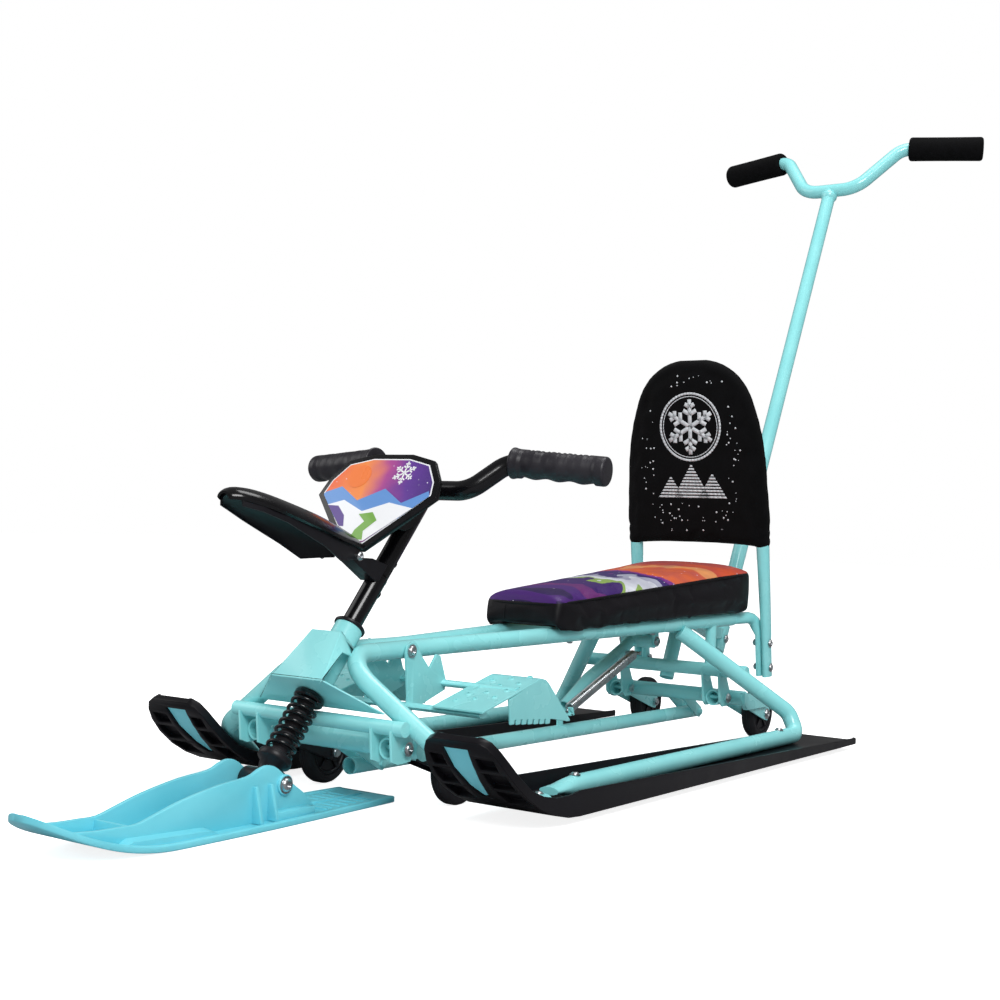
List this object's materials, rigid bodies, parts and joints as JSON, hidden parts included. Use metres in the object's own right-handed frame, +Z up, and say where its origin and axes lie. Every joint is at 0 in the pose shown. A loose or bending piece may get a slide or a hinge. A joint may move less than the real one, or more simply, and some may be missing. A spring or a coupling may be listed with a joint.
{
  "type": "steering snow scooter sled",
  "caption": "Child's steering sled with a sprung front ski, rear skis, retractable wheels, padded seat, backrest and pusher handle.",
  "frame": {"origin": "centre of the footprint on the ground", "axes": "+Z up, -Y towards the nose of the front ski, +X towards the rider's left"},
  "size_m": [0.4928, 1.7456, 0.98],
  "materials": {
    "zinc_steel": "zinc plated",
    "black_cloth": "woven cloth",
    "mint_powder_coat": "satin powder coat",
    "black_gloss_enamel": "gloss enamel",
    "sky_blue_polyethylene": "moulded, satin",
    "black_rubber": "matt",
    "black_moulded_plastic": "moulded, satin",
    "black_foam": "matt foam",
    "plywood_board": "plain board",
    "black_vinyl": "soft satin vinyl"
  },
  "bodies": {
    "front_carriage": {"axle_front_left": "zinc_steel", "axle_front_right": "zinc_steel", "front_carriage": "mint_powder_coat", "wheel_fork_left": "black_moulded_plastic", "wheel_fork_right": "black_moulded_plastic"},
    "rear_carriage": {"axle_rear_left": "zinc_steel", "axle_rear_right": "zinc_steel", "rear_carriage": "mint_powder_coat"},
    "frame": {"backrest_sleeve": "black_cloth", "backrest_tube": "mint_powder_coat", "brake_pivot_bolt": "zinc_steel", "front_hanger": "mint_powder_coat", "head_mask": "mint_powder_coat", "lever_bracket": "mint_powder_coat", "lever_pivot_bolt": "zinc_steel", "pusher_grip_left": "black_foam", "pusher_grip_right": "black_foam", "pusher_handle": "mint_powder_coat", "pusher_socket": "mint_powder_coat", "rail_elbow_left": "mint_powder_coat", "rail_elbow_right": "mint_powder_coat", "rear_hanger": "mint_powder_coat", "rear_ski_left": "black_moulded_plastic", "rear_ski_right": "black_moulded_plastic", "runner_tube_left": "mint_powder_coat", "runner_tube_right": "mint_powder_coat", "seat_board": "plywood_board", "seat_cushion": "black_vinyl", "side_tube_left": "mint_powder_coat", "side_tube_right": "mint_powder_coat", "ski_insert_left": "sky_blue_polyethylene", "ski_insert_right": "sky_blue_polyethylene", "steering_bush": "black_moulded_plastic", "steering_head": "mint_powder_coat"},
    "brake": {"brake_carrier": "mint_powder_coat", "foot_plate_left": "mint_powder_coat", "foot_plate_right": "mint_powder_coat"},
    "steering": {"dash_shield": "black_gloss_enamel", "grip_left": "black_rubber", "grip_right": "black_rubber", "handlebar": "black_gloss_enamel", "shock_bellows": "black_rubber", "shock_spring": "black_gloss_enamel", "steering_column": "black_gloss_enamel", "visor_lower": "black_moulded_plastic", "visor_upper": "black_gloss_enamel"},
    "lever": {"extension_spring": "zinc_steel", "retract_lever": "mint_powder_coat"},
    "ski": {"front_ski": "sky_blue_polyethylene", "ski_pivot_bolt": "zinc_steel"},
    "wheel_front_left": {"hub_front_left": "black_moulded_plastic", "tyre_front_left": "black_rubber"},
    "wheel_front_right": {"hub_front_right": "black_moulded_plastic", "tyre_front_right": "black_rubber"},
    "wheel_rear_left": {"hub_rear_left": "black_moulded_plastic", "tyre_rear_left": "black_rubber"},
    "wheel_rear_right": {"hub_rear_right": "black_moulded_plastic", "tyre_rear_right": "black_rubber"},
    "link": {"link_tube": "mint_powder_coat"},
    "shock": {"shock_fork": "black_moulded_plastic"}
  },
  "joints": [
    {"name": "steering_turn", "type": "hinge", "parent": "frame", "child": "steering", "pos_m": [0, -0.51599, 0.11805], "axis": [0, 0.6428, 0.766], "range_deg": [-33, 33]},
    {"name": "shock_travel", "type": "slide", "parent": "steering", "child": "shock", "axis": [0, 0.6428, 0.766], "range_m": [0, 0.014], "stiffness_N_per_m": 6000, "springref_m": -0.012, "deforming": ["shock_spring", "shock_bellows"]},
    {"name": "ski_pitch", "type": "hinge", "parent": "shock", "child": "ski", "pos_m": [0, -0.584, 0.037], "axis": [1, 0, 0], "range_deg": [-20, 3]},
    {"name": "brake_swing", "type": "hinge", "parent": "frame", "child": "brake", "pos_m": [0, -0.392, 0.1575], "axis": [1, 0, 0], "range_deg": [-25, 0], "stiffness_Nm_per_rad": 2.5, "springref_deg": 25.78},
    {"name": "front_carriage_swing", "type": "hinge", "parent": "frame", "child": "front_carriage", "pos_m": [0, -0.49, 0.0704], "axis": [1, 0, 0], "range_deg": [0, 8]},
    {"name": "rear_carriage_swing", "type": "hinge", "parent": "frame", "child": "rear_carriage", "pos_m": [0, 0.241, 0.0651], "axis": [1, 0, 0], "range_deg": [0, 8]},
    {"name": "link_swing", "type": "hinge", "parent": "front_carriage", "child": "link", "pos_m": [0, -0.413, 0.037], "axis": [1, 0, 0], "range_deg": [-8, 0]},
    {"name": "lever_swing", "type": "hinge", "parent": "frame", "child": "lever", "pos_m": [0, 0.157, 0.143], "axis": [1, 0, 0], "range_deg": [-3, 0], "deforming": ["extension_spring"]},
    {"name": "wheel_front_left_spin", "type": "hinge", "parent": "front_carriage", "child": "wheel_front_left", "pos_m": [0.0925, -0.388, 0.036], "axis": [1, 0, 0], "continuous": true},
    {"name": "wheel_front_right_spin", "type": "hinge", "parent": "front_carriage", "child": "wheel_front_right", "pos_m": [-0.0925, -0.388, 0.036], "axis": [1, 0, 0], "continuous": true},
    {"name": "wheel_rear_left_spin", "type": "hinge", "parent": "rear_carriage", "child": "wheel_rear_left", "pos_m": [0.0925, 0.343, 0.036], "axis": [1, 0, 0], "continuous": true},
    {"name": "wheel_rear_right_spin", "type": "hinge", "parent": "rear_carriage", "child": "wheel_rear_right", "pos_m": [-0.0925, 0.343, 0.036], "axis": [1, 0, 0], "continuous": true}
  ],
  "couplings": [
    {"joint": "rear_carriage_swing", "follows": "front_carriage_swing", "ratio": 1},
    {"joint": "link_swing", "follows": "front_carriage_swing", "ratio": -1},
    {"joint": "lever_swing", "follows": "front_carriage_swing", "ratio": -0.32}
  ]
}
